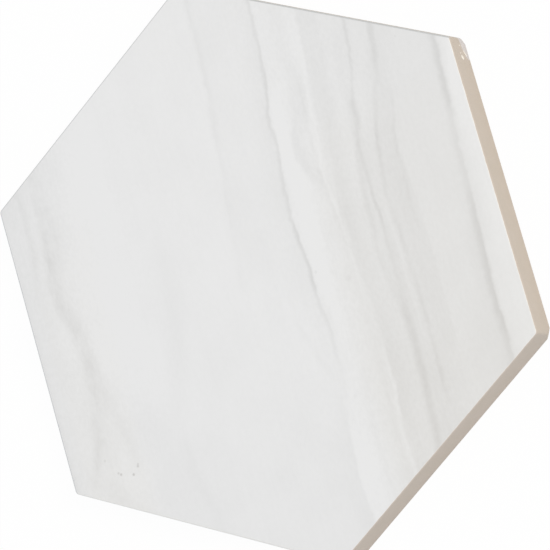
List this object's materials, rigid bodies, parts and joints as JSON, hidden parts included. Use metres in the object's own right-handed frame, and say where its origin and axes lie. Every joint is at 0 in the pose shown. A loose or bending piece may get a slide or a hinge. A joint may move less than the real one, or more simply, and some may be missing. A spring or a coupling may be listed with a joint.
{
  "type": "hexagon tile",
  "caption": "Regular hexagonal porcelain floor and wall tile with a smooth marble-look glazed face, drafted bare sides and a keyed back that an adhesive bed grips.",
  "frame": {"origin": "centre of the back, on the plane of its ribs", "axes": "+Z out of the glazed face, +X towards one corner of the hexagon, +Y towards the middle of one side"},
  "size_m": [0.1736, 0.1508, 0.01],
  "materials": {
    "glazed_porcelain": "satin marble-look glaze on a bare beige porcelain body"
  },
  "bodies": {
    "root": {"hexagon_tile": "glazed_porcelain"}
  },
  "joints": []
}
